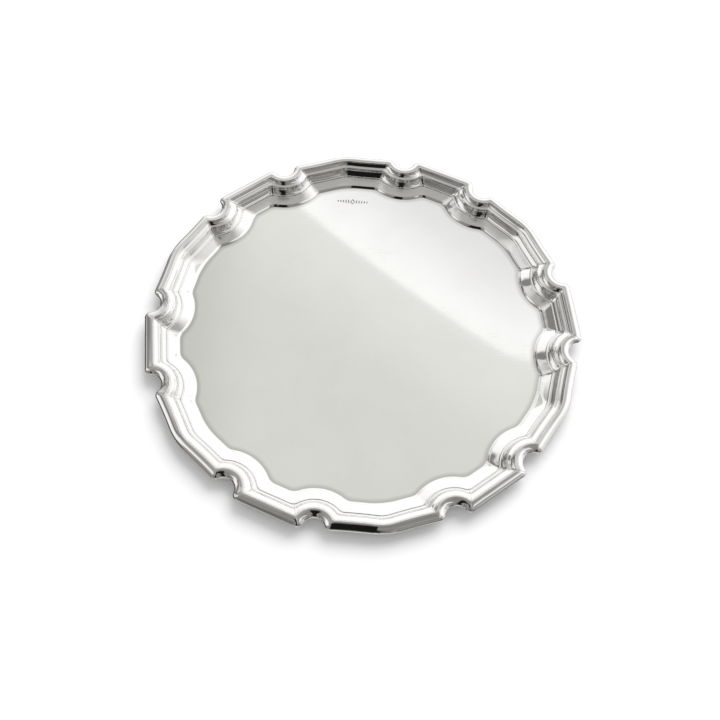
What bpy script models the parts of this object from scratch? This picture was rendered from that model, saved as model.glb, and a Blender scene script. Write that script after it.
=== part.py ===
"""Offering plate: a round silver plate with a mitred, moulded and scalloped border.

The plate is a sheet-metal base with a flat well. A cast border moulding is soldered round it in
24 mitred lengths: six long bracket lengths, six short straight lengths and twelve scallops.
Metres, +Z up. The origin is the centre of the flat underside. +X points to the middle of a straight length.

Every line of the border is a parallel curve of one outline. "Inset" is the distance inwards from that
outline, and each outline element (line, scallop arc, flank arc, peak arc) keeps its centre at every inset.
"""
import math

import bmesh
import bpy
from mathutils import Vector

# ---------------------------------------------------------------- driving dimensions (millimetres)
ACROSS_STRAIGHTS = 254.0        # overall width, straight length to opposite straight length (10 in)
REPEATS = 6                     # the outline repeats six times

# outline at the outer edge of the lip
SCALLOP_CENTRE_R = 127.1        # distance of a scallop arc's centre from the plate's centre
SCALLOP_CENTRE_DEG = 12.33      # its angle from the middle of the nearest straight length
SCALLOP_R = 6.4                 # radius of the scallop arc
PEAK_REACH = 127.65             # distance of a bracket's peak from the plate's centre
PEAK_R = 21.5                   # radius that softens the peak
PEAK_HALF_TURN_DEG = 12.57      # the flanks leave the peak at this angle to it
FLANK_R = 330.0                 # the flanks are very slightly hollow
TIP_R = 3.5                     # rounding of the outline's corners at the outer edge
TIP_R_MIN = 0.45                # rounding that is left further in, where the lengths are mitred

# section of the border: inset from the outline, and height above the flat underside
SHEET = 1.2                     # thickness of the sheet
CREST_Z = 9.7                   # top of the border
LIP_W, LIP_DROP = 3.4, 2.2      # rounded, turned-down outer lip
CREST_W = 1.5                   # flat crest
COVE_W, COVE_H = 2.0, 2.0       # first flute, from the crest down to the ledge
LEDGE_W, LEDGE_DROP = 1.8, 0.25
FLUTE_W, FLUTE_H = 3.2, 3.7     # second and larger flute
BEAD_W, BEAD_H = 1.0, 0.2       # small bead at the moulding's foot
BAND_OUT, BAND_OUT_Z = 12.9, 2.8   # gently falling band of the sheet, outer end
BAND_IN, BAND_IN_Z = 17.9, 2.1     # and its inner end
STEP_DROP = 0.45                # small step below the band
WELL_EDGE = 19.7                # inset at which the flat well begins
FLANGE_EDGE = 8.9               # the sheet runs on under the moulding to this inset
CASTING = 1.5                   # wall thickness of the moulding
GAP = 0.3                       # gap between neighbouring pieces

MM = 0.001
SECTOR = math.pi / REPEATS


# ---------------------------------------------------------------- outline
def unit(angle):
    return Vector((math.cos(angle), math.sin(angle)))


def angle_of(v):
    return math.atan2(v.y, v.x)


APOTHEM = ACROSS_STRAIGHTS / 2
SCALLOP_C = SCALLOP_CENTRE_R * unit(math.radians(SCALLOP_CENTRE_DEG))
PEAK_DIR = unit(SECTOR)
PEAK_C = (PEAK_REACH - PEAK_R) * PEAK_DIR
FLANK_DIR = unit(SECTOR - math.radians(PEAK_HALF_TURN_DEG))
FLANK_C = PEAK_C + (PEAK_R + FLANK_R) * FLANK_DIR


def corner_centres(inset):
    """Centres and radius of the two corner roundings of a half sector at this inset."""
    r = max(TIP_R - inset, TIP_R_MIN)
    q = inset + r
    x = APOTHEM - q
    dx = x - SCALLOP_C.x
    c1 = Vector((x, SCALLOP_C.y - math.sqrt((SCALLOP_R + q) ** 2 - dx * dx)))
    # where the grown scallop arc meets the grown flank arc, on the plate's side
    ra, rb = SCALLOP_R + q, FLANK_R + q
    between = FLANK_C - SCALLOP_C
    d = between.length
    along = (ra * ra - rb * rb + d * d) / (2 * d)
    off = math.sqrt(ra * ra - along * along)
    base = SCALLOP_C + between * (along / d)
    side = Vector((-between.y, between.x)) / d
    c2 = min((base + side * off, base - side * off), key=lambda p: p.length)
    return r, c1, c2


def outline_point(element, u, inset):
    """Point and unit tangent at fraction u along one element of the half sector from 0 to 30 degrees."""
    r, c1, c2 = corner_centres(inset)
    a1 = angle_of(SCALLOP_C - c1)
    a2 = angle_of(SCALLOP_C - c2)
    a3 = angle_of(FLANK_C - c2)
    a4 = angle_of(FLANK_DIR)
    if element == "straight":
        return Vector((APOTHEM - inset, c1.y * u)), Vector((0.0, 1.0))
    if element == "corner_1":
        t = a1 * u
        p = c1 + r * unit(t)
    elif element == "scallop":
        t = a1 + (a2 - a1) * u
        p = SCALLOP_C - (SCALLOP_R + inset) * unit(t)
    elif element == "corner_2":
        t = a2 + (a3 - a2) * u
        p = c2 + r * unit(t)
    elif element == "flank":
        t = a3 + (a4 - a3) * u
        p = FLANK_C - (FLANK_R + inset) * unit(t)
    else:
        t = a4 + (SECTOR - a4) * u
        p = PEAK_C + (PEAK_R - inset) * unit(t)
    return p, Vector((-math.sin(t), math.cos(t)))


def mirror_in(p, axis):
    """Mirror a point in the line through the centre along the unit vector axis."""
    return 2.0 * p.dot(axis) * axis - p


def fractions(n):
    return [i / n for i in range(n + 1)]


def run(element, n, first=False):
    us = fractions(n)
    return [(element, u, 0.0) for u in (us if first else us[1:])]


# Each path is a list of stations: outline element, fraction along it, and a shift along the tangent that
# opens the mitre by half of the gap.
HALF_GAP = GAP / 2
SCALLOP_PATH = ([("corner_1", 0.5, HALF_GAP), ("corner_1", 1.0, 0.0)] + run("scallop", 6)
                + [("corner_2", 0.5, -HALF_GAP)])
HALF_STRAIGHT_PATH = [("straight", 0.0, 0.0), ("straight", 1.0, 0.0), ("corner_1", 0.5, -HALF_GAP)]
HALF_BRACKET_PATH = ([("corner_2", 0.5, HALF_GAP), ("corner_2", 1.0, 0.0)] + run("flank", 3) + run("peak", 2))


# ---------------------------------------------------------------- section of the border
def quarter(d0, z0, width, height, n, hollow):
    """Quarter of an ellipse from (d0, z0), going inwards by width and down by height, as (inset, z)."""
    pts = []
    for i in range(n + 1):
        t = math.pi / 2 * i / n
        if hollow:
            pts.append((d0 + width * (1 - math.cos(t)), z0 - height * math.sin(t)))
        else:
            pts.append((d0 + width * math.sin(t), z0 - height * (1 - math.cos(t))))
    return pts


def moulding_section():
    """Closed section of the cast border, anticlockwise from the lower edge of the lip."""
    lip = [(d, z) for d, z in ((LIP_W * (1 - math.cos(t)), CREST_Z - LIP_DROP * (1 - math.sin(t)))
                               for t in (math.pi / 2 * i / 4 for i in range(5)))]
    crest_in = LIP_W + CREST_W
    cove = quarter(crest_in, CREST_Z, COVE_W, COVE_H, 3, True)
    ledge_in = crest_in + COVE_W + LEDGE_W
    ledge_z = CREST_Z - COVE_H - LEDGE_DROP
    flute = quarter(ledge_in, ledge_z, FLUTE_W, FLUTE_H, 4, True)
    foot_in = ledge_in + FLUTE_W
    foot_z = ledge_z - FLUTE_H
    bead = [(foot_in + 0.35 * BEAD_W, foot_z + BEAD_H), (foot_in + BEAD_W, foot_z - 0.1)]
    top = lip + cove + flute + bead
    # the foot rests on the flange of the sheet, and the back is hollow behind the crest
    foot = [(BAND_OUT, flange_z(BAND_OUT) + GAP), (FLANGE_EDGE, flange_z(FLANGE_EDGE) + GAP)]
    back = [(ledge_in - CASTING, foot_z + 1.1), (ledge_in - CASTING, ledge_z - CASTING),
            (crest_in - 0.3, ledge_z - CASTING + 0.3), (crest_in - 0.6, CREST_Z - CASTING),
            (LIP_W - 0.4, CREST_Z - CASTING), (0.75, CREST_Z - LIP_DROP - 0.25)]
    return top + foot + back


def flange_z(inset):
    """Top of the sheet's band and flange, which are one straight slope."""
    slope = (BAND_OUT_Z - BAND_IN_Z) / (BAND_IN - BAND_OUT)
    return BAND_IN_Z + (BAND_IN - inset) * slope


def sheet_rows():
    """Upper and lower rows of the sheet from its outer edge to the flat well, as (inset, z)."""
    upper = [(FLANGE_EDGE, flange_z(FLANGE_EDGE)), (BAND_OUT, BAND_OUT_Z), (BAND_IN, BAND_IN_Z)]
    step_z = BAND_IN_Z - STEP_DROP
    upper += quarter(BAND_IN + 0.15, step_z, WELL_EDGE - BAND_IN - 0.15, step_z - SHEET, 3, True)
    t = 0.96 * SHEET
    lower = [(BAND_IN + 0.1 + SHEET, 0.0), (BAND_IN - 0.1, BAND_IN_Z - 1.05 * SHEET), (BAND_OUT, BAND_OUT_Z - t),
             (FLANGE_EDGE, flange_z(FLANGE_EDGE) - t)]
    return upper, lower


# ---------------------------------------------------------------- mesh helpers
def mesh_from_rings(name, rings, closed_path):
    """Loft a closed skin through rings of equal length; the ends are capped, or the path closes on itself."""
    bm = bmesh.new()
    rows = [[bm.verts.new((p[0] * MM, p[1] * MM, p[2] * MM)) for p in ring] for ring in rings]
    count = len(rows[0])
    pairs = list(zip(rows, rows[1:])) + ([(rows[-1], rows[0])] if closed_path else [])
    for a, b in pairs:
        for i in range(count):
            j = (i + 1) % count
            bm.faces.new((a[i], a[j], b[j], b[i]))
    if not closed_path:
        bm.faces.new(rows[0])
        bm.faces.new(list(reversed(rows[-1])))
    bmesh.ops.recalc_face_normals(bm, faces=bm.faces)
    mesh = bpy.data.meshes.new(name)
    bm.to_mesh(mesh)
    bm.free()
    mesh.shade_smooth()
    mesh.set_sharp_from_angle(angle=math.radians(32))
    return mesh


def station_ring(station, section, mirror_axis=None):
    element, u, shift = station
    ring = []
    for inset, z in section:
        p, tangent = outline_point(element, u, inset)
        p = p + tangent * shift
        if mirror_axis is not None:
            p = mirror_in(p, mirror_axis)
        ring.append((p.x, p.y, z))
    return ring


def moulding_mesh(name, half_path=None, full_path=None, mirror_axis=None):
    """A length of moulding: a full path as it is, or a half path and its mirror image."""
    section = moulding_section()
    if full_path:
        rings = [station_ring(s, section) for s in full_path]
    else:
        rings = [station_ring(s, section) for s in half_path]
        other = [station_ring(s, section, mirror_axis) for s in half_path]
        if half_path[0][0] == "straight":
            rings = list(reversed(other))[:-1] + rings
        else:
            rings = rings + list(reversed(other))[1:]
    return mesh_from_rings(name, rings, closed_path=False)


def sheet_loop():
    """Stations once round the half sector for the sheet; its corners stay sharp mitres."""
    return ([("straight", 0.0, 0.0), ("corner_1", 0.5, 0.0)] + run("scallop", 5)[:-1] + [("corner_2", 0.5, 0.0)]
            + run("flank", 2)[:-1] + run("flank", 1) + run("peak", 1))


def closed_curve(inset):
    """One closed parallel curve of the outline as a list of points."""
    half = [outline_point(e, u, inset)[0] for e, u, _ in sheet_loop()]
    other = [mirror_in(p, PEAK_DIR) for p in reversed(half[:-1])]
    sector = (half + other)[:-1]
    curve = []
    for k in range(REPEATS):
        c, s = math.cos(2 * SECTOR * k), math.sin(2 * SECTOR * k)
        curve += [Vector((c * p.x - s * p.y, s * p.x + c * p.y)) for p in sector]
    return curve


def sheet_mesh(name):
    """The base sheet: rings from the upper well edge out to the flange edge and back in underneath."""
    upper, lower = sheet_rows()
    rows = list(reversed(upper)) + list(reversed(lower))
    bm = bmesh.new()
    rings = []
    for inset, z in rows:
        rings.append([bm.verts.new((p.x * MM, p.y * MM, z * MM)) for p in closed_curve(inset)])
    count = len(rings[0])
    for a, b in zip(rings, rings[1:]):
        for i in range(count):
            j = (i + 1) % count
            bm.faces.new((a[i], a[j], b[j], b[i]))
    bm.faces.new(rings[0])
    bm.faces.new(list(reversed(rings[-1])))
    bmesh.ops.recalc_face_normals(bm, faces=bm.faces)
    mesh = bpy.data.meshes.new(name)
    bm.to_mesh(mesh)
    bm.free()
    mesh.shade_smooth()
    mesh.set_sharp_from_angle(angle=math.radians(25))
    return mesh


def silver(name, tint, roughness):
    mat = bpy.data.materials.new(name)
    mat.use_nodes = True
    shader = mat.node_tree.nodes["Principled BSDF"]
    shader.inputs["Base Color"].default_value = (tint[0], tint[1], tint[2], 1.0)
    shader.inputs["Metallic"].default_value = 1.0
    shader.inputs["Roughness"].default_value = roughness
    mat.diffuse_color = (tint[0], tint[1], tint[2], 1.0)
    return mat


# ---------------------------------------------------------------- build
def place(name, mesh, turn, parent, collection, tint, roughness):
    obj = bpy.data.objects.new(name, mesh)
    obj.rotation_euler = (0.0, 0.0, turn)
    obj.parent = parent
    collection.objects.link(obj)
    if not mesh.materials:
        mesh.materials.append(None)
    slot = obj.material_slots[0]
    slot.link = "OBJECT"
    slot.material = silver("silver_" + name, tint, roughness)
    return obj


def main():
    for obj in list(bpy.data.objects):
        bpy.data.objects.remove(obj, do_unlink=True)

    parts = bpy.data.collections.new("offering_plate")
    bpy.context.scene.collection.children.link(parts)
    centre = bpy.data.objects.new("plate_centre", None)
    parts.objects.link(centre)

    place("well_plate", sheet_mesh("well_plate"), 0.0, centre, parts, (0.90, 0.89, 0.86), 0.06)

    straight = moulding_mesh("rim_straight", half_path=HALF_STRAIGHT_PATH, mirror_axis=unit(0.0))
    bracket = moulding_mesh("rim_bracket", half_path=HALF_BRACKET_PATH, mirror_axis=PEAK_DIR)
    scallop = moulding_mesh("rim_scallop", full_path=SCALLOP_PATH)
    section = moulding_section()
    other = mesh_from_rings("rim_scallop_opposite",
                            [station_ring(s, section, PEAK_DIR) for s in SCALLOP_PATH], closed_path=False)

    tint, rough = (0.91, 0.90, 0.87), 0.05
    for k in range(REPEATS):
        turn = 2 * SECTOR * k
        place("rim_straight_%d" % (k + 1), straight, turn, centre, parts, tint, rough)
        place("rim_bracket_%d" % (k + 1), bracket, turn, centre, parts, tint, rough)
        place("rim_scallop_%d" % (2 * k + 1), scallop, turn, centre, parts, tint, rough)
        place("rim_scallop_%d" % (2 * k + 2), other, turn, centre, parts, tint, rough)


main()
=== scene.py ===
import math

import bmesh
import bpy
import numpy as np
from mathutils import Matrix, Vector, noise


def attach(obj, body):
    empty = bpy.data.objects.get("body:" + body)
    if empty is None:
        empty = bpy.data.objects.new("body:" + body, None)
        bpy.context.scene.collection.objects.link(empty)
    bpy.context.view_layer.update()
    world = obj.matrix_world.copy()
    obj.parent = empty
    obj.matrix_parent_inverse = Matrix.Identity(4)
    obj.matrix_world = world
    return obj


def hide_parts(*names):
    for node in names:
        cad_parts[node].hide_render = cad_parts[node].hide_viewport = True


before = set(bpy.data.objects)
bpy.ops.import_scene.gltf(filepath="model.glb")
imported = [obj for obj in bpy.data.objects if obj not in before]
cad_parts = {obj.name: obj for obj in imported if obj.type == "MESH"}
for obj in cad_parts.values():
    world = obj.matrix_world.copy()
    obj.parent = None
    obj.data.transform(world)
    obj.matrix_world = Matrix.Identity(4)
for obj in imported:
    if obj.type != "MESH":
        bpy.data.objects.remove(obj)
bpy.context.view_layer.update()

MM = 0.001

# =====================================================================================================
# Outline of the border: every line on it is a parallel curve of one outline (millimetres)
# =====================================================================================================
REPEATS = 6
SECTOR = math.pi / REPEATS
APOTHEM = 127.0
SCALLOP_CENTRE_R, SCALLOP_CENTRE_DEG, SCALLOP_R = 127.1, 12.33, 6.4
PEAK_REACH, PEAK_R, PEAK_HALF_TURN_DEG, FLANK_R = 127.65, 21.5, 12.57, 330.0
TIP_R, TIP_R_MIN = 3.5, 2.2
# the peak's rounding on each line of the border: full on the lip, tight along the coves, easy at the well
PEAK_AT, PEAK_ROUND = [0.0, 2.5, 5.0, 12.0, 14.0, 20.0, 24.0], [42.0, 35.0, 20.0, 15.0, 18.0, 48.0, 50.0]

SHEET = 1.2
CREST_Z = 9.7
LIP_W, LIP_DROP = 3.4, 2.2
CREST_W = 1.5
COVE_W, COVE_H = 2.0, 2.0
LEDGE_W, LEDGE_DROP = 1.8, 0.42
FLUTE_W, FLUTE_H = 3.2, 3.7
BEAD_W, BEAD_H = 1.0, 0.2
BAND_OUT, BAND_OUT_Z = 12.9, 2.8
BAND_IN, BAND_IN_Z = 17.9, 2.1
STEP_DROP = 0.45
WELL_EDGE = 19.7
FLANGE_EDGE = 8.9
CASTING = 1.5
SKIN = 0.03          # how far the fine surface stays inside the frame's box
BAND_TOP, BAND_FALL = 3.05, 0.24   # the band's height at its outer edge, and how steeply it falls


def unit(a):
    return np.array([math.cos(a), math.sin(a)])


def angle_of(v):
    return math.atan2(v[1], v[0])


SCALLOP_C = SCALLOP_CENTRE_R * unit(math.radians(SCALLOP_CENTRE_DEG))
PEAK_DIR = unit(SECTOR)
PEAK_C = (PEAK_REACH - PEAK_R) * PEAK_DIR
FLANK_DIR = unit(SECTOR - math.radians(PEAK_HALF_TURN_DEG))
FLANK_C = PEAK_C + (PEAK_R + FLANK_R) * FLANK_DIR
_corner_cache = {}


def corners(inset):
    """Corner roundings and the angles where the outline's elements meet, at this inset."""
    key = round(inset, 6)
    if key in _corner_cache:
        return _corner_cache[key]
    r = max(TIP_R - inset, TIP_R_MIN + 0.42 * max(inset - 6.0, 0.0))
    q = inset + r
    x = APOTHEM - q
    dx = x - SCALLOP_C[0]
    c1 = np.array([x, SCALLOP_C[1] - math.sqrt((SCALLOP_R + q) ** 2 - dx * dx)])
    ra, rb = SCALLOP_R + q, FLANK_R + q
    between = FLANK_C - SCALLOP_C
    d = float(np.hypot(*between))
    along = (ra * ra - rb * rb + d * d) / (2 * d)
    off = math.sqrt(ra * ra - along * along)
    base = SCALLOP_C + between * (along / d)
    side = np.array([-between[1], between[0]]) / d
    c2 = min((base + side * off, base - side * off), key=lambda p: float(p @ p))
    rp = float(np.interp(inset, PEAK_AT, PEAK_ROUND))
    reach = FLANK_C @ PEAK_DIR
    c3 = (reach - math.sqrt((FLANK_R + inset + rp) ** 2 - (FLANK_C @ FLANK_C - reach * reach))) * PEAK_DIR
    out = (r, c1, c2, angle_of(SCALLOP_C - c1), angle_of(SCALLOP_C - c2), angle_of(FLANK_C - c2),
           angle_of(FLANK_C - c3), rp, c3)
    _corner_cache[key] = out
    return out


def outline_point(element, u, inset):
    """Point and unit tangent at fraction u along an element of the half sector from 0 to 30 degrees."""
    r, c1, c2, a1, a2, a3, a4, rp, c3 = corners(inset)
    if element == "straight":
        return np.array([APOTHEM - inset, c1[1] * u]), np.array([0.0, 1.0])
    if element == "corner_1":
        t = a1 * u
        p = c1 + r * unit(t)
    elif element == "scallop":
        t = a1 + (a2 - a1) * u
        p = SCALLOP_C - (SCALLOP_R + inset) * unit(t)
    elif element == "corner_2":
        t = a2 + (a3 - a2) * u
        p = c2 + r * unit(t)
    elif element == "flank":
        t = a3 + (a4 - a3) * u
        p = FLANK_C - (FLANK_R + inset) * unit(t)
    else:
        t = a4 + (SECTOR - a4) * u
        p = c3 + rp * unit(t)
    return p, np.array([-math.sin(t), math.cos(t)])


def run(element, u0, u1, n):
    """Stations along an element, without the first one."""
    return [(element, u0 + (u1 - u0) * i / n, 0.0) for i in range(1, n + 1)]


# =====================================================================================================
# Sections (inset, z) in millimetres
# =====================================================================================================
def quarter(d0, z0, w, h, n, hollow):
    out = []
    last = math.radians(63)
    for i in range(n + 1):
        t = last * i / n
        out.append((d0 + w * (1 - math.cos(t)) / (1 - math.cos(last)), z0 - h * math.sin(t) / math.sin(last)) if hollow
                   else (d0 + w * math.sin(t), z0 - h * (1 - math.cos(t))))
    return out


def softened(points, sigma, most_turn=5.0, most_step=0.5, fine=0.012):
    """A polyline with its corners worn round: it is blurred along its own length, then thinned where it is straight."""
    p = np.array(points, float)
    s = np.r_[0.0, np.cumsum(np.hypot(*(p[1:] - p[:-1]).T))]
    keep = np.r_[True, np.diff(s) > 1e-9]
    p, s = p[keep], s[keep]
    n = int(s[-1] / fine) + 1
    t = np.linspace(0.0, s[-1], n)
    q = np.c_[np.interp(t, s, p[:, 0]), np.interp(t, s, p[:, 1])]
    k = int(4 * sigma / fine)
    kernel = np.exp(-0.5 * (np.arange(-k, k + 1) * fine / sigma) ** 2)
    kernel /= kernel.sum()
    head = 2 * q[0] - q[k:0:-1]
    tail = 2 * q[-1] - q[-2:-k - 2:-1]
    padded = np.vstack([head, q, tail])
    q = np.c_[np.convolve(padded[:, 0], kernel, "valid"), np.convolve(padded[:, 1], kernel, "valid")]
    out = [q[0]]
    heading = math.atan2(*(q[1] - q[0])[::-1])
    travelled = 0.0
    for i in range(1, n - 1):
        travelled += float(np.hypot(*(q[i] - q[i - 1])))
        now = math.atan2(*(q[i + 1] - q[i])[::-1])
        turn = abs((now - heading + math.pi) % (2 * math.pi) - math.pi)
        if math.degrees(turn) >= most_turn or travelled >= most_step:
            out.append(q[i])
            heading, travelled = now, 0.0
    out.append(q[-1])
    return np.array(out)


def flange_z(inset):
    return BAND_TOP - (inset - BAND_OUT) * BAND_FALL


def lip_and_crest():
    """The rolled lip and the softly domed crest, from the lip's outer edge to the crest's inner one. The surface's
    tilt from level is given against the inset, and the height follows from it."""
    width, drop = LIP_W + CREST_W, LIP_DROP
    d = width * (1 - np.cos(np.linspace(0, math.pi / 2, 90)))
    tilt = np.interp(d, [0.0, 0.03, 0.12, 0.3, 0.8, 1.6, 2.5, width], [86, 76, 64, 53, 35, 20, 9.0, 2.5])
    rise = np.tan(np.radians(tilt))
    z = np.r_[0.0, np.cumsum((rise[1:] + rise[:-1]) / 2 * np.diff(d))]
    return [(SKIN + x * (1 - SKIN / width), CREST_Z - SKIN - drop * (1 - h / z[-1])) for x, h in zip(d, z)]


def moulding_section():
    """Closed section of the cast moulding. Returns its points, how many of them are the outer face, a mask
    that is 1 in its hollows and 0 on its high edges, and a mask of the crest, where shade is painted onto the colour."""
    top_z = CREST_Z - SKIN
    lip = lip_and_crest()
    under = [(0.95, top_z - LIP_DROP - 0.12), (0.5, top_z - LIP_DROP - 0.22), (0.2, top_z - LIP_DROP - 0.17)]
    crest_in = LIP_W + CREST_W
    cove = quarter(crest_in, top_z, COVE_W, COVE_H, 24, True)
    ledge_in = crest_in + COVE_W + LEDGE_W
    ledge_z = CREST_Z - COVE_H - LEDGE_DROP
    flute = quarter(ledge_in, ledge_z, FLUTE_W, FLUTE_H, 36, True)
    foot_in, foot_z = ledge_in + FLUTE_W, ledge_z - FLUTE_H
    bead = [(foot_in + BEAD_W * (0.5 - 0.5 * math.cos(t)) * 0.9 + 0.02, foot_z + BEAD_H * math.sin(t) * 1.5 - 0.45 * (t / math.pi) ** 2)
            for t in np.linspace(0.15, math.pi * 0.93, 12)]
    end = [(BAND_OUT - 0.01, flange_z(BAND_OUT) + 0.06), (BAND_OUT + 0.03, flange_z(BAND_OUT) + 0.02)]
    top = softened(under + lip + cove + flute + bead + end, 0.075, 5.0, 0.5)
    back_raw = [(BAND_OUT - 0.10, flange_z(BAND_OUT) + 0.02), (FLANGE_EDGE + 0.1, flange_z(FLANGE_EDGE) + 0.02),
                (FLANGE_EDGE - 0.25, flange_z(FLANGE_EDGE) - 0.1),
                (ledge_in - CASTING, foot_z + 1.0), (ledge_in - CASTING, ledge_z - CASTING),
                (crest_in - 0.3, ledge_z - CASTING + 0.3), (crest_in - 0.6, CREST_Z - CASTING),
                (LIP_W - 0.4, CREST_Z - CASTING), (1.1, top_z - LIP_DROP - 0.08)]
    back = softened(back_raw, 0.12, 12.0, 2.0)
    section = np.vstack([top, back])
    # hollows: how much higher the straight line between neighbours 0.9 mm away is than the surface
    s = np.r_[0.0, np.cumsum(np.hypot(*(top[1:] - top[:-1]).T))]
    before = np.c_[np.interp(s - 0.7, s, top[:, 0]), np.interp(s - 0.7, s, top[:, 1])]
    after = np.c_[np.interp(s + 0.7, s, top[:, 0]), np.interp(s + 0.7, s, top[:, 1])]
    tangent = after - before
    normal = np.c_[-tangent[:, 1], tangent[:, 0]] / np.maximum(np.hypot(*tangent.T), 1e-6)[:, None]
    lift = ((before + after) / 2 - top) * normal
    curve = lift.sum(1)
    hollow = np.clip(0.5 + curve / 0.24, 0, 1)
    hollow[:6] = 0.5
    # mask of the crest's top, where shade is painted onto the colour
    crest = np.clip(np.minimum((top[:, 0] - 2.7) / 0.5, (crest_in - 0.05 - top[:, 0]) / 0.25), 0, 1)
    crest[top[:, 1] < CREST_Z - 0.8] = 0
    return section, len(top), np.r_[hollow, np.full(len(back), 0.5)], np.r_[crest, np.zeros(len(back))]


def shrunk(section, by):
    """The section drawn in by a small amount, for the broken edge at a mitre."""
    n = len(section)
    before, after = section[np.arange(n) - 1], section[(np.arange(n) + 1) % n]
    t = after - before
    normal = np.c_[t[:, 1], -t[:, 0]] / np.maximum(np.hypot(*t.T), 1e-9)[:, None]
    area = 0.5 * float(np.sum(section[:, 0] * after[:, 1] - after[:, 0] * section[:, 1]))
    return section - normal * by * (1 if area > 0 else -1)


# =====================================================================================================
# Meshes
# =====================================================================================================
def ripple(p, seed, size, amount):
    """Hand-finishing leaves the metal very slightly uneven. Smooth 3-D noise, in millimetres."""
    q = Vector((p[0] / size + seed, p[1] / size - seed * 0.7, p[2] / size + 3.1 * seed))
    return noise.noise_vector(q) * amount


def make_object(name, verts, faces, smooth_deg=None):
    mesh = bpy.data.meshes.new(name)
    mesh.from_pydata([(v[0] * MM, v[1] * MM, v[2] * MM) for v in verts], [], faces)
    mesh.validate()
    bm = bmesh.new()
    bm.from_mesh(mesh)
    bmesh.ops.recalc_face_normals(bm, faces=bm.faces)
    bm.to_mesh(mesh)
    bm.free()
    mesh.shade_smooth()
    if smooth_deg:
        mesh.set_sharp_from_angle(angle=math.radians(smooth_deg))
    obj = bpy.data.objects.new(name, mesh)
    bpy.context.scene.collection.objects.link(obj)
    return obj


def set_point_mask(obj, name, values):
    attribute = obj.data.attributes.new(name, "FLOAT", "POINT")
    attribute.data.foreach_set("value", np.asarray(values, np.float32))


SECTION, TOP_COUNT, HOLLOW, CREST_SHADE = moulding_section()
SEAM = 0.022         # half of the fine solder seam between two lengths
BREAK = 0.07         # the broken edge beside it


def moulding_rings(stations, start_shift, end_shift):
    """Rings of a length of moulding, with its two end edges broken."""
    rings = []
    small = shrunk(SECTION, 0.05)
    for k, (element, u, _) in enumerate(stations):
        ends = []
        if k == 0:
            ends = [(SEAM, small), (SEAM + BREAK, SECTION)]
            sign = start_shift
        elif k == len(stations) - 1:
            ends = [(SEAM + BREAK, SECTION), (SEAM, small)]
            sign = end_shift
        if ends:
            for shift, sec in ends:
                ring = []
                for inset, z in sec:
                    p, tangent = outline_point(element, u, max(inset, 0.0))
                    p = p + tangent * shift * sign
                    ring.append((p[0], p[1], z))
                rings.append(ring)
        else:
            rings.append([(*outline_point(element, u, inset)[0], z) for inset, z in SECTION])
    return np.array(rings)


def mirrored(rings, axis):
    p = rings[..., :2]
    flat = 2.0 * (p @ axis)[..., None] * axis - p
    return np.concatenate([flat, rings[..., 2:]], axis=-1)


def turned(points, angle):
    c, s = math.cos(angle), math.sin(angle)
    out = np.array(points, float)
    out[..., 0], out[..., 1] = (c * points[..., 0] - s * points[..., 1], s * points[..., 0] + c * points[..., 1])
    return out


def moulding_piece(name, rings):
    n, m = rings.shape[:2]
    pts = rings.reshape(-1, 3)
    moved = []
    crinkle = 0.021 if name.startswith("scallop") else 0.011   # the scallops are too tight to be stoned quite smooth
    for p in pts:
        d = ripple(p, 3.7, 7.0, 0.024) + ripple(p, 9.2, 2.5, crinkle)
        moved.append((p[0] + d.x, p[1] + d.y, max(min(p[2] + d.z * 0.7, CREST_Z), 0.0)))
    faces = []
    for a in range(n - 1):
        for i in range(m):
            j = (i + 1) % m
            faces.append((a * m + i, a * m + j, (a + 1) * m + j, (a + 1) * m + i))
    faces.append(tuple(range(m)))
    faces.append(tuple((n - 1) * m + i for i in reversed(range(m))))
    obj = make_object(name, moved, faces, 50)
    set_point_mask(obj, "hollow", np.tile(HOLLOW, n))
    # painted shade on the crest: strongest towards 42 degrees (back right), weakest opposite
    worn = [0.3 + 0.35 * (1 + math.cos(math.atan2(p[1], p[0]) - math.radians(42))) for ring in rings for p in ring]
    set_point_mask(obj, "crest", np.tile(CREST_SHADE, n) * np.array(worn))
    return obj


def build_mouldings():
    corner = 7
    half_straight = ([("straight", 0.0, 0.0)] + run("straight", 0, 1, 8) + run("corner_1", 0, 0.5, corner))
    half_bracket = ([("corner_2", 0.5, 0.0)] + run("corner_2", 0.5, 1.0, corner) + run("flank", 0, 1, 12)
                    + run("peak", 0, 1, 12))
    scallop = ([("corner_1", 0.5, 0.0)] + run("corner_1", 0.5, 1.0, corner) + run("scallop", 0, 1, 36)
               + run("corner_2", 0, 0.5, corner))

    def half_rings(path, joint_at_start):
        """Only one end of a half path is a joint; the other end is its middle."""
        rings = moulding_rings(path, 1.0, -1.0)
        if joint_at_start:
            middle = np.array([[(*outline_point(path[-1][0], path[-1][1], i)[0], z) for i, z in SECTION]])
            return np.concatenate([rings[:-2], middle])
        middle = np.array([[(*outline_point(path[0][0], path[0][1], i)[0], z) for i, z in SECTION]])
        return np.concatenate([middle, rings[2:]])

    straight = half_rings(half_straight, False)
    straight = np.concatenate([mirrored(straight, unit(0.0))[::-1][:-1], straight])
    bracket = half_rings(half_bracket, True)
    bracket = np.concatenate([bracket, mirrored(bracket, PEAK_DIR)[::-1][1:]])
    one = moulding_rings(scallop, 1.0, -1.0)
    two = mirrored(one, PEAK_DIR)[::-1]
    made = []
    for k in range(REPEATS):
        a = 2 * SECTOR * k
        for name, rings, node in (("straight_moulding_%d" % (k + 1), straight, "rim_straight_%d" % (k + 1)),
                                  ("bracket_moulding_%d" % (k + 1), bracket, "rim_bracket_%d" % (k + 1)),
                                  ("scallop_moulding_%d" % (2 * k + 1), one, "rim_scallop_%d" % (2 * k + 1)),
                                  ("scallop_moulding_%d" % (2 * k + 2), two, "rim_scallop_%d" % (2 * k + 2))):
            obj = moulding_piece(name, turned(rings, a))
            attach(obj, "root")
            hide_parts(node)
            made.append(obj)
    return made


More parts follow.
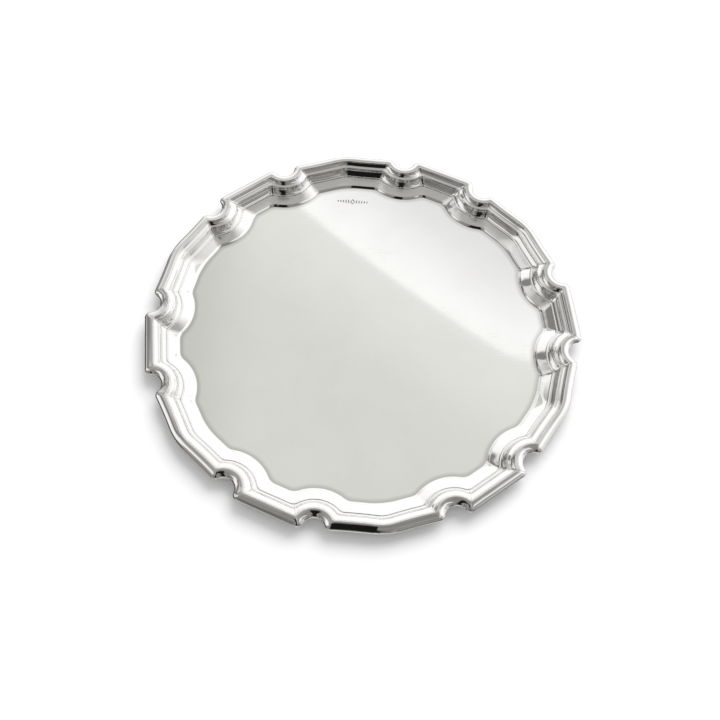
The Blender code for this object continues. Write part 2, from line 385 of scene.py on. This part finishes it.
# ------------------------------------------------------------------ the sheet, with its engraved ornament
ORNAMENT_AT = (2.9, 96.4)      # centre on the well
ORNAMENT_TURN = -9.0            # degrees
ORNAMENT_HALF = (10.5, 3.6)     # half size of the finely meshed field round it


def ornament_strokes():
    """A plain engraved device: a lozenge with a row of short slanting leaves that shrinks away to each side."""
    strokes = []
    for side in (-1, 1):
        for k in range(5):
            x, reach = 2.5 + 1.65 * k, 2.3 - 0.34 * k
            leaf = []
            for i in range(9):
                t = i / 8
                leaf.append((side * (x + 0.9 * (t - 0.5) + 0.22 * math.sin(2 * math.pi * t)), reach * (2 * t - 1) * 0.62,
                             0.16 + 0.24 * math.sin(math.pi * t)))
            strokes.append(leaf)
    lozenge = [(0, 1.7, 0.3), (1.25, 0, 0.3), (0, -1.7, 0.3), (-1.25, 0, 0.3), (0, 1.7, 0.3)]
    strokes.append(lozenge)
    return strokes


def engraving_depth(x, y):
    """Depth of the cut below the surface, in millimetres, at arrays of points in the ornament's own axes."""
    depth = np.zeros_like(x)
    for line in ornament_strokes():
        for (x0, y0, w0), (x1, y1, w1) in zip(line, line[1:]):
            ex, ey = x1 - x0, y1 - y0
            length2 = ex * ex + ey * ey
            t = np.clip(((x - x0) * ex + (y - y0) * ey) / max(length2, 1e-9), 0, 1)
            dist = np.hypot(x - x0 - t * ex, y - y0 - t * ey)
            w = w0 + (w1 - w0) * t
            cut = np.clip(1 - dist / w, 0, 1)
            depth = np.maximum(depth, 0.34 * w * (1 - (1 - cut) ** 1.6))
    return depth


def sheet_stations():
    half = ([("straight", 0.0, 0.0)] + run("straight", 0, 1, 6) + run("corner_1", 0, 1, 8) + run("scallop", 0, 1, 26)
            + run("corner_2", 0, 1, 8) + run("flank", 0, 1, 8) + run("peak", 0, 1, 8))
    return half


def closed_curve(inset):
    half = np.array([outline_point(e, u, inset)[0] for e, u, _ in sheet_stations()])
    other = (2.0 * (half @ PEAK_DIR)[:, None] * PEAK_DIR - half)[::-1][1:]
    sector = np.concatenate([half, other])[:-1]
    out = []
    for k in range(REPEATS):
        c, s = math.cos(2 * SECTOR * k), math.sin(2 * SECTOR * k)
        out.append(np.c_[c * sector[:, 0] - s * sector[:, 1], s * sector[:, 0] + c * sector[:, 1]])
    return np.concatenate(out)


def build_sheet():
    band_end = flange_z(BAND_IN)
    upper = [(FLANGE_EDGE, flange_z(FLANGE_EDGE))]
    upper += [(d, flange_z(d) - 0.03 * math.sin(math.pi * (d - BAND_OUT) / (BAND_IN - BAND_OUT)))
              for d in np.linspace(BAND_OUT - 1.0, BAND_IN, 26) if d >= BAND_OUT] + [(BAND_IN + 0.02, band_end)]
    # the step down into the well: a hollow bevel, steeper at its top
    bevel = np.linspace(0.0, 1.0, 21)
    slope = np.tan(np.radians(30 - 14 * bevel))
    fall = np.r_[0.0, np.cumsum((slope[1:] + slope[:-1]) / 2)]
    upper += [(BAND_IN + 0.06 + (WELL_EDGE - BAND_IN - 0.16) * t, band_end - (band_end - SHEET) * f / fall[-1])
              for t, f in zip(bevel, fall)]
    upper += [(WELL_EDGE + 3.0 * t, SHEET) for t in np.linspace(0.02, 1, 12)]
    upper = softened(upper, 0.08, 4.0, 0.6)
    low = softened([(WELL_EDGE + 1.8, 0.0), (BAND_IN + 0.1 + SHEET, 0.0), (BAND_IN - 0.1, BAND_IN_Z - 1.05 * SHEET),
                    (BAND_OUT, BAND_OUT_Z - 0.96 * SHEET), (FLANGE_EDGE + 0.15, flange_z(FLANGE_EDGE) - 0.96 * SHEET)],
                   0.22, 8.0, 2.0)
    low[:, 1] = np.maximum(low[:, 1], 0.0)
    edge = [(FLANGE_EDGE + 0.02, flange_z(FLANGE_EDGE) - 0.8 * SHEET), (FLANGE_EDGE, flange_z(FLANGE_EDGE) - 0.4 * SHEET)]
    rows = [tuple(p) for p in low] + edge + [tuple(p) for p in upper]
    verts, rings = [], []
    for inset, z in rows:
        curve = closed_curve(inset)
        rings.append(range(len(verts), len(verts) + len(curve)))
        for x, y in curve:
            d = ripple((x, y, z), 5.1, 11.0, 0.015) + ripple((x, y, z), 8.4, 3.4, 0.009)
            keep = 0.0 if z <= 1e-6 else min(max((WELL_EDGE + 2.5 - inset) / 2.0, 0.0), 1.0)
            verts.append((x + d.x * keep, y + d.y * keep, max(z + d.z * keep * 0.6, 0.0)))
    count = len(rings[0])
    faces = []
    for a, b in zip(rings, rings[1:]):
        for i in range(count):
            j = (i + 1) % count
            faces.append((a[i], a[j], b[j], b[i]))
    mesh_low, mesh_top = list(rings[0]), list(rings[-1])
    # painted shade along the foot of the step: 1 at the well's edge, fading to 0 some 3 mm into the well
    step_shade_mask = []
    for inset, z in rows:
        near = min(max((WELL_EDGE + 3.0 - inset) / 3.2, 0.0), 1.0) if inset > WELL_EDGE - 0.25 and z > 0.5 else 0.0
        step_shade_mask += [near] * len(closed_curve(inset))
    bm = bmesh.new()
    made = [bm.verts.new(v) for v in verts]
    for f in faces:
        bm.faces.new([made[i] for i in f])
    # underside: one flat face
    bm.faces.new([made[i] for i in mesh_low])
    # the fine field of the ornament
    hx, hy = ORNAMENT_HALF
    pitch = 0.1
    nx, ny = int(2 * hx / pitch), int(2 * hy / pitch)
    gx, gy = np.meshgrid(np.linspace(-hx, hx, nx + 1), np.linspace(-hy, hy, ny + 1), indexing="ij")
    depth = engraving_depth(gx, gy)
    ca, sa = math.cos(math.radians(ORNAMENT_TURN)), math.sin(math.radians(ORNAMENT_TURN))
    field = [[bm.verts.new((ORNAMENT_AT[0] + ca * gx[i, j] - sa * gy[i, j], ORNAMENT_AT[1] + sa * gx[i, j] + ca * gy[i, j],
                            SHEET - depth[i, j])) for j in range(ny + 1)] for i in range(nx + 1)]
    for i in range(nx):
        for j in range(ny):
            bm.faces.new((field[i][j], field[i + 1][j], field[i + 1][j + 1], field[i][j + 1]))
    bm.verts.ensure_lookup_table()
    bm.edges.ensure_lookup_table()
    border = [e for e in bm.edges if e.is_boundary]
    bmesh.ops.triangle_fill(bm, use_beauty=True, use_dissolve=False, edges=border, normal=(0, 0, 1))
    bmesh.ops.recalc_face_normals(bm, faces=bm.faces)
    for v in bm.verts:
        v.co *= MM
    mesh = bpy.data.meshes.new("sheet_base")
    bm.to_mesh(mesh)
    bm.free()
    mesh.shade_smooth()
    mesh.set_sharp_from_angle(angle=math.radians(50))
    obj = bpy.data.objects.new("sheet_base", mesh)
    bpy.context.scene.collection.objects.link(obj)
    # masks: the painted shade in the hollow at the foot of the step, and the engraving's cut
    co = np.zeros(len(mesh.vertices) * 3)
    mesh.vertices.foreach_get("co", co)
    co = co.reshape(-1, 3) / MM
    lx, ly = co[:, 0] - ORNAMENT_AT[0], co[:, 1] - ORNAMENT_AT[1]
    ox, oy = ca * lx + sa * ly, -sa * lx + ca * ly
    inside = (abs(ox) <= hx + 1e-6) & (abs(oy) <= hy + 1e-6) & (co[:, 2] > 0.5)
    cut = np.zeros(len(co))
    cut[inside] = np.clip(engraving_depth(ox[inside], oy[inside]) / 0.05, 0, 1)
    set_point_mask(obj, "engraved", cut)
    set_point_mask(obj, "step_foot_shade", step_shade_mask + [0.0] * (len(co) - len(step_shade_mask)))
    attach(obj, "root")
    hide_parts("well_plate")
    return obj


mouldings = build_mouldings()
sheet = build_sheet()


# =====================================================================================================
# ====== STUDIO: camera, floor, lights, world
# =====================================================================================================
TURN = math.radians(8.075)      # the plate is turned this much on the table, seen from the camera's side


def studio_to_frame(x, y, z):
    """From the studio's axes (+X right, +Y away from the camera) to the plate's own axes."""
    c, s = math.cos(-TURN), math.sin(-TURN)
    return Vector((c * x - s * y, s * x + c * y, z))


def build_camera():
    e, roll, distance = math.radians(61.31), math.radians(-2.874), 620.0 * MM
    tx, ty = -0.9 * MM, -18.3 * MM
    place = studio_to_frame(tx, ty - distance * math.cos(e), distance * math.sin(e) + SHEET * MM)
    c, s = math.cos(roll), math.sin(roll)
    up = (0.0, math.sin(e), math.cos(e))
    x_axis = studio_to_frame(c, -s * up[1], -s * up[2])
    y_axis = studio_to_frame(s, c * up[1], c * up[2])
    z_axis = x_axis.cross(y_axis)
    data = bpy.data.cameras.new("camera")
    data.sensor_width = 36.0
    data.lens = 53.12
    data.clip_start = 0.01
    camera = bpy.data.objects.new("camera", data)
    camera.matrix_world = Matrix((
        (x_axis.x, y_axis.x, z_axis.x, place.x),
        (x_axis.y, y_axis.y, z_axis.y, place.y),
        (x_axis.z, y_axis.z, z_axis.z, place.z),
        (0.0, 0.0, 0.0, 1.0)))
    bpy.context.scene.collection.objects.link(camera)
    bpy.context.scene.camera = camera


class Nodes:
    """Small helper to write node trees."""

    def __init__(self, tree):
        self.tree = tree
        tree.nodes.clear()

    def add(self, kind, inputs=None, **props):
        node = self.tree.nodes.new(kind)
        for key, value in props.items():
            setattr(node, key, value)
        for key, value in (inputs or {}).items():
            socket = node.inputs[key]
            if isinstance(value, bpy.types.NodeSocket):
                self.tree.links.new(value, socket)
            else:
                socket.default_value = value
        return node

    def math(self, operation, a, b=None, clamp=False):
        inputs = {0: a}
        if b is not None:
            inputs[1] = b
        return self.add("ShaderNodeMath", inputs, operation=operation, use_clamp=clamp).outputs[0]

    def step(self, value, low, high, to_low=0.0, to_high=1.0):
        """Smooth step between two values."""
        return self.add("ShaderNodeMapRange", {"Value": value, "From Min": low, "From Max": high, "To Min": to_low,
                                               "To Max": to_high}, interpolation_type="SMOOTHSTEP").outputs["Result"]

    def mix(self, factor, a, b):
        node = self.add("ShaderNodeMix", data_type="RGBA")
        for socket, value in ((node.inputs[0], factor), (node.inputs[6], a), (node.inputs[7], b)):
            if isinstance(value, bpy.types.NodeSocket):
                self.tree.links.new(value, socket)
            else:
                socket.default_value = value
        return node.outputs[2]


def grey(v, warm=0.0):
    return (v * (1 + 0.5 * warm), v, v * (1 - warm), 1.0)


def linear(v):
    """Linear light of a display grey between 0 and 1."""
    return v / 12.92 if v <= 0.04045 else ((v + 0.055) / 1.055) ** 2.4


# The studio as the plate sees it. Display grey of the surroundings against azimuth (degrees, 0 right, 90 away from
# the camera). First from the horizon up to about 60 degrees: a broad softbox behind on the right, pale walls on the
# left, the dark camera side, and a grey room on the right front.
AROUND = [(0, 0.86), (6, 0.92), (14, 0.98), (24, 1.015), (60, 1.02), (98, 1.02), (112, 0.98), (120, 0.90), (128, 0.80),
          (136, 0.62), (142, 0.50), (150, 0.55), (157, 0.68), (165, 0.90), (172, 0.97), (183, 0.97), (191, 0.84),
          (200, 0.58), (214, 0.52), (226, 0.44), (234, 0.42), (242, 0.56), (250, 0.38), (256, 0.06), (272, 0.05),
          (280, 0.40), (290, 0.55), (305, 0.50), (318, 0.55), (332, 0.68), (346, 0.74)]
# the table's surroundings below the horizon, and the table right under the plate's edge
BELOW = [(0, 0.92), (15, 0.95), (60, 0.925), (95, 0.905), (108, 0.86), (117, 0.76), (127, 0.56), (142, 0.38), (156, 0.25),
         (196, 0.26), (214, 0.52), (228, 0.66), (238, 0.50), (250, 0.66), (262, 0.62), (276, 0.66), (288, 0.50),
         (302, 0.22), (322, 0.34), (338, 0.72)]
UNDER = [(0, 0.52), (90, 0.52), (105, 0.48), (118, 0.36), (205, 0.46), (235, 0.80), (270, 1.0), (300, 0.92), (335, 0.84)]


def build_world():
    world = bpy.data.worlds.new("studio")
    bpy.context.scene.world = world
    world.use_nodes = True
    n = Nodes(world.node_tree)
    direction = n.add("ShaderNodeTexCoord").outputs["Generated"]
    direction = n.add("ShaderNodeVectorRotate", {"Vector": direction, "Angle": TURN}, rotation_type="Z_AXIS").outputs[0]
    xyz = n.add("ShaderNodeSeparateXYZ", {0: direction})
    x, y, z = xyz.outputs["X"], xyz.outputs["Y"], xyz.outputs["Z"]
    elevation = n.math("ARCSINE", n.math("MAXIMUM", n.math("MINIMUM", z, 1.0), -1.0))
    elevation = n.math("MULTIPLY", elevation, 180 / math.pi)
    azimuth = n.math("ARCTAN2", y, x)
    azimuth = n.math("FRACT", n.math("ADD", n.math("MULTIPLY", azimuth, 0.5 / math.pi), 1.0))

    def ring(table):
        ramp = n.add("ShaderNodeValToRGB", {"Fac": azimuth})
        ramp.color_ramp.interpolation = "EASE"
        stops = table + [(360, table[0][1])]
        while len(ramp.color_ramp.elements) < len(stops):
            ramp.color_ramp.elements.new(0.5)
        for element, (degrees, value) in zip(ramp.color_ramp.elements, stops):
            element.position = degrees / 360
            v = linear(value)
            warm = 0.05 if value < 0.6 else 0.006
            element.color = (v * (1 + warm), v, v * (1 - warm), 1)
        return ramp.outputs["Color"]

    walls = ring(AROUND)
    # things standing about the room: soft uprights and patches, only where the walls are not bright
    long_ways = n.add("ShaderNodeMapping", {"Vector": direction, "Scale": (5.0, 5.0, 1.7)}).outputs[0]
    clutter = n.add("ShaderNodeTexNoise", {"Vector": long_ways, "Scale": 1.9, "Detail": 2.0, "Roughness": 0.5}).outputs["Fac"]
    clutter = n.step(clutter, 0.40, 0.60, 0.52, 1.50)
    dull = n.step(n.add("ShaderNodeSeparateColor", {0: walls}).outputs[0], 0.45, 0.85, 1.0, 0.0)
    factor = n.math("ADD", 1.0, n.math("MULTIPLY", n.math("SUBTRACT", clutter, 1.0), dull))
    walls = n.add("ShaderNodeVectorMath", {0: walls, "Scale": factor}, operation="SCALE").outputs[0]
    # narrow grey seams in the softbox
    for height, half, strength in ((21, 1.1, 0.32), (-6, 1.4, 0.30), (31, 0.8, 0.22)):
        seam = n.step(n.math("ABSOLUTE", n.math("SUBTRACT", elevation, height)), half * 0.4, half * 1.3, strength, 0.0)
        walls = n.mix(seam, walls, grey(linear(0.55)))
    # below the horizon
    low = ring(BELOW)
    dark_low = n.step(n.add("ShaderNodeSeparateColor", {0: low}).outputs[0], 0.40, 0.75, 1.0, 0.0)
    low_factor = n.math("ADD", 1.0, n.math("MULTIPLY", n.math("SUBTRACT", clutter, 1.0), dark_low))
    low = n.add("ShaderNodeVectorMath", {0: low, "Scale": low_factor}, operation="SCALE").outputs[0]
    walls = n.mix(n.step(elevation, 3, 13, 1.0, 0.0), walls, low)
    walls = n.mix(n.step(z, -0.66, -0.42, 1.0, 0.0), walls, ring(UNDER))
    # the room above: even grey
    over = n.mix(n.step(y, 0.06, 0.22), grey(linear(0.52), 0.03), grey(linear(0.66), 0.03))
    over = n.mix(n.step(y, 0.24, 0.32), over, grey(linear(0.77), 0.02))
    over = n.mix(n.step(x, 0.24, 0.34), over, grey(linear(0.90)))
    over = n.mix(n.step(x, -0.42, -0.30, 1.0, 0.0), over, grey(linear(0.88)))
    colour = n.mix(n.step(elevation, 60, 72), walls, over)
    # the edge of the softbox, which the flat of the dish mirrors as a soft diagonal
    edge = n.math("ADD", x, n.math("MULTIPLY", n.math("SUBTRACT", y, 0.56), 1.8))
    edge = n.math("SUBTRACT", edge, n.math("MULTIPLY", n.math("MAXIMUM", n.math("SUBTRACT", x, 0.135), 0.0), 0.5))
    shade = n.step(edge, -0.20, 0.0, linear(0.835), linear(0.885))
    shade = n.math("MULTIPLY", shade, n.step(x, -0.19, -0.09, 0.80, 1.0))
    bright = n.step(edge, 0.0, 0.16, linear(0.985), linear(0.885))
    dish = n.math("ADD", n.math("MULTIPLY", shade, n.step(edge, -0.003, 0.009, 1.0, 0.0)),
                  n.math("MULTIPLY", bright, n.step(edge, -0.003, 0.009)))
    dish = n.add("ShaderNodeCombineColor", {
        0: dish, 1: n.math("MULTIPLY", dish, n.step(edge, -0.05, 0.05, 1.006, 0.997)),
        2: n.math("MULTIPLY", dish, n.step(edge, -0.05, 0.05, 0.955, 1.0))}).outputs[0]
    # a narrow dim upright to the left of what the dish mirrors
    bar = n.math("MULTIPLY", n.step(n.math("ABSOLUTE", n.math("ADD", x, 0.235)), 0.035, 0.06, 1.0, 0.0),
                 n.math("MULTIPLY", n.step(y, 0.36, 0.42), n.step(y, 0.50, 0.56, 1.0, 0.0)))
    colour = n.mix(n.math("MULTIPLY", bar, n.step(clutter, 0.55, 1.45, 1.0, 0.25)), colour, grey(linear(0.50), 0.03))
    across = n.math("DIVIDE", x, 0.199)
    along = n.math("DIVIDE", n.math("SUBTRACT", y, 0.487), 0.150)
    cone = n.math("ADD", n.math("MULTIPLY", across, across), n.math("MULTIPLY", along, along))
    cone = n.step(cone, 1.0, 1.10, 1.0, 0.0)
    colour = n.mix(cone, colour, dish)
    # the dark camera side runs up to overhead
    strip = n.math("MULTIPLY", n.step(n.math("ABSOLUTE", n.math("ADD", x, 0.055)), 0.075, 0.09, 1.0, 0.0),
                   n.math("MULTIPLY", n.step(y, 0.09, 0.19, 1.0, 0.0), n.step(z, 0.3, 0.5)))
    colour = n.mix(strip, colour, grey(linear(0.09), 0.05))
    path = n.add("ShaderNodeLightPath")
    reflected = n.add("ShaderNodeBackground", {"Color": colour, "Strength": 1.06}).outputs[0]
    # the even light on the table is weakest from the near left, where the photographer stands
    near_left = n.math("ADD", n.math("MULTIPLY", x, -0.375), n.math("MULTIPLY", y, -0.927))
    even = n.mix(n.step(near_left, 0.25, 0.85), grey(0.86), grey(0.42))
    soft = n.add("ShaderNodeBackground", {"Color": even, "Strength": 1.0}).outputs[0]
    pale = n.add("ShaderNodeBackground", {"Color": grey(1.0), "Strength": 1.0}).outputs[0]
    lit = n.add("ShaderNodeMixShader", {0: path.outputs["Is Diffuse Ray"], 1: reflected, 2: soft}).outputs[0]
    seen = n.add("ShaderNodeMixShader", {0: path.outputs["Is Camera Ray"], 1: lit, 2: pale}).outputs[0]
    n.add("ShaderNodeOutputWorld", {"Surface": seen})


def build_lights():
    """The key light: a large soft one from behind on the right, which leaves a shadow only at the near left."""
    data = bpy.data.lights.new("key", "SUN")
    data.energy = 2.4
    data.angle = math.radians(52)
    key = bpy.data.objects.new("key", data)
    elevation, azimuth = math.radians(41), math.radians(64)
    toward = studio_to_frame(math.cos(elevation) * math.cos(azimuth), math.cos(elevation) * math.sin(azimuth),
                             math.sin(elevation))
    key.rotation_euler = toward.to_track_quat("Z", "Y").to_euler()
    key.visible_glossy = False
    bpy.context.scene.collection.objects.link(key)


def build_floor():
    """A plain pale table, open from underneath so that the plate's underside can be looked at."""
    bm = bmesh.new()
    half, cells = 3.0, 24
    for i in range(cells + 1):
        for j in range(cells + 1):
            x, y = -half + 2 * half * i / cells, -half + 2 * half * j / cells
            bm.verts.new((x, y, -0.00004))
    bm.verts.ensure_lookup_table()
    w = cells + 1
    for i in range(cells):
        for j in range(cells):
            bm.faces.new([bm.verts[k] for k in (i * w + j, (i + 1) * w + j, (i + 1) * w + j + 1, i * w + j + 1)])
    mesh = bpy.data.meshes.new("table")
    bm.to_mesh(mesh)
    bm.free()
    floor = bpy.data.objects.new("table", mesh)
    bpy.context.scene.collection.objects.link(floor)
    material = bpy.data.materials.new("table_white")
    material.use_nodes = True
    n = Nodes(material.node_tree)
    top = n.add("ShaderNodeBsdfDiffuse", {"Color": (0.86, 0.86, 0.86, 1.0)})
    clear = n.add("ShaderNodeBsdfTransparent")
    back = n.add("ShaderNodeNewGeometry").outputs["Backfacing"]
    shader = n.add("ShaderNodeMixShader", {0: back, 1: top.outputs[0], 2: clear.outputs[0]})
    n.add("ShaderNodeOutputMaterial", {"Surface": shader.outputs[0]})
    mesh.materials.append(material)
    floor.visible_glossy = False


# ------------------------------------------------------------------ silver
def silver(name, crevice, rough, seed, engraved=None):
    """Polished silver: slightly warm tarnish left in the hollows, faint swirls from polishing
    and hair scratches, all small; and painted shade on the crest and along the foot of the well's step."""
    material = bpy.data.materials.new(name)
    material.use_nodes = True
    n = Nodes(material.node_tree)
    place = n.add("ShaderNodeTexCoord").outputs["Object"]
    cloud = n.add("ShaderNodeTexNoise", {"Vector": place, "Scale": 34.0, "Detail": 4.0, "Roughness": 0.6},
                  noise_dimensions="4D")
    cloud.inputs["W"].default_value = seed
    fine = n.add("ShaderNodeTexNoise", {"Vector": place, "Scale": 620.0, "Detail": 3.0, "Roughness": 0.65})
    # long thin hair scratches in three directions
    scratches = None
    for k, (turn, stretch) in enumerate(((17, 40.0), (71, 55.0), (128, 47.0))):
        turned_place = n.add("ShaderNodeMapping", {"Vector": place, "Rotation": (0.3 * k, 0.2, math.radians(turn)),
                                                   "Scale": (stretch, 2600.0, 300.0)}).outputs[0]
        line = n.add("ShaderNodeTexNoise", {"Vector": turned_place, "Scale": 1.0, "Detail": 1.0}).outputs["Fac"]
        line = n.step(line, 0.70, 0.78)
        scratches = line if scratches is None else n.math("MAXIMUM", scratches, line)
    patchy = n.step(cloud.outputs["Fac"], 0.42, 0.62)
    scratches = n.math("MULTIPLY", scratches, patchy)
    roughness = n.math("ADD", n.step(cloud.outputs["Fac"], 0.3, 0.75, rough * 0.7, rough * 1.5),
                       n.math("MULTIPLY", scratches, 0.05))
    colour = n.mix(n.step(cloud.outputs["Fac"], 0.35, 0.7), (0.955, 0.953, 0.945, 1), (0.93, 0.927, 0.915, 1))
    if crevice:
        hollow = n.add("ShaderNodeAttribute", attribute_name="hollow").outputs["Fac"]
        deep = n.math("MULTIPLY", n.step(hollow, 0.6, 1.0), n.step(fine.outputs["Fac"], 0.25, 0.7, 0.55, 1.0))
        colour = n.mix(n.math("MULTIPLY", deep, 0.24), colour, (0.50, 0.485, 0.455, 1))
        roughness = n.math("ADD", roughness, n.math("MULTIPLY", deep, 0.07))
        # painted shade: the crest's colour is darkened towards a dark grey, most on the back right, standing in for the
        # dim room it mirrors; its roughness is raised a little too
        crest = n.add("ShaderNodeAttribute", attribute_name="crest").outputs["Fac"]
        dull = n.math("MULTIPLY", crest, n.step(cloud.outputs["Fac"], 0.3, 0.7, 0.8, 1.0))
        colour = n.mix(dull, colour, (0.29, 0.286, 0.275, 1))
        roughness = n.math("ADD", roughness, n.math("MULTIPLY", dull, 0.05))
    if engraved:
        # painted shade: the colour is darkened along the foot of the step, fading out over the first 3 mm of the well
        foot = n.add("ShaderNodeAttribute", attribute_name="step_foot_shade").outputs["Fac"]
        colour = n.mix(n.step(foot, 0.0, 1.0, 0.0, 0.62), colour, (0.50, 0.495, 0.475, 1))
        cut = n.add("ShaderNodeAttribute", attribute_name=engraved).outputs["Fac"]
        colour = n.mix(n.step(cut, 0.0, 0.7, 0.0, 0.85), colour, (0.20, 0.195, 0.18, 1))
        roughness = n.math("ADD", roughness, n.math("MULTIPLY", cut, 0.25))
    bump = n.add("ShaderNodeBump", {"Strength": 0.05, "Distance": 0.00008, "Height": n.math(
        "ADD", n.math("MULTIPLY", fine.outputs["Fac"], 0.4), n.math("MULTIPLY", scratches, -0.6))})
    shader = n.add("ShaderNodeBsdfPrincipled", {"Base Color": colour, "Metallic": 1.0, "Roughness": roughness,
                                                "Normal": bump.outputs[0]})
    n.add("ShaderNodeOutputMaterial", {"Surface": shader.outputs[0]})
    return material


cast = silver("silver_cast_border", True, 0.022, 1.0)
rolled = silver("silver_sheet", False, 0.03, 5.0, engraved="engraved")
for piece in mouldings:
    piece.data.materials.clear()
    piece.data.materials.append(cast)
sheet.data.materials.clear()
sheet.data.materials.append(rolled)

build_camera()
build_world()
build_lights()
build_floor()
bpy.context.scene.view_settings.view_transform = "Standard"
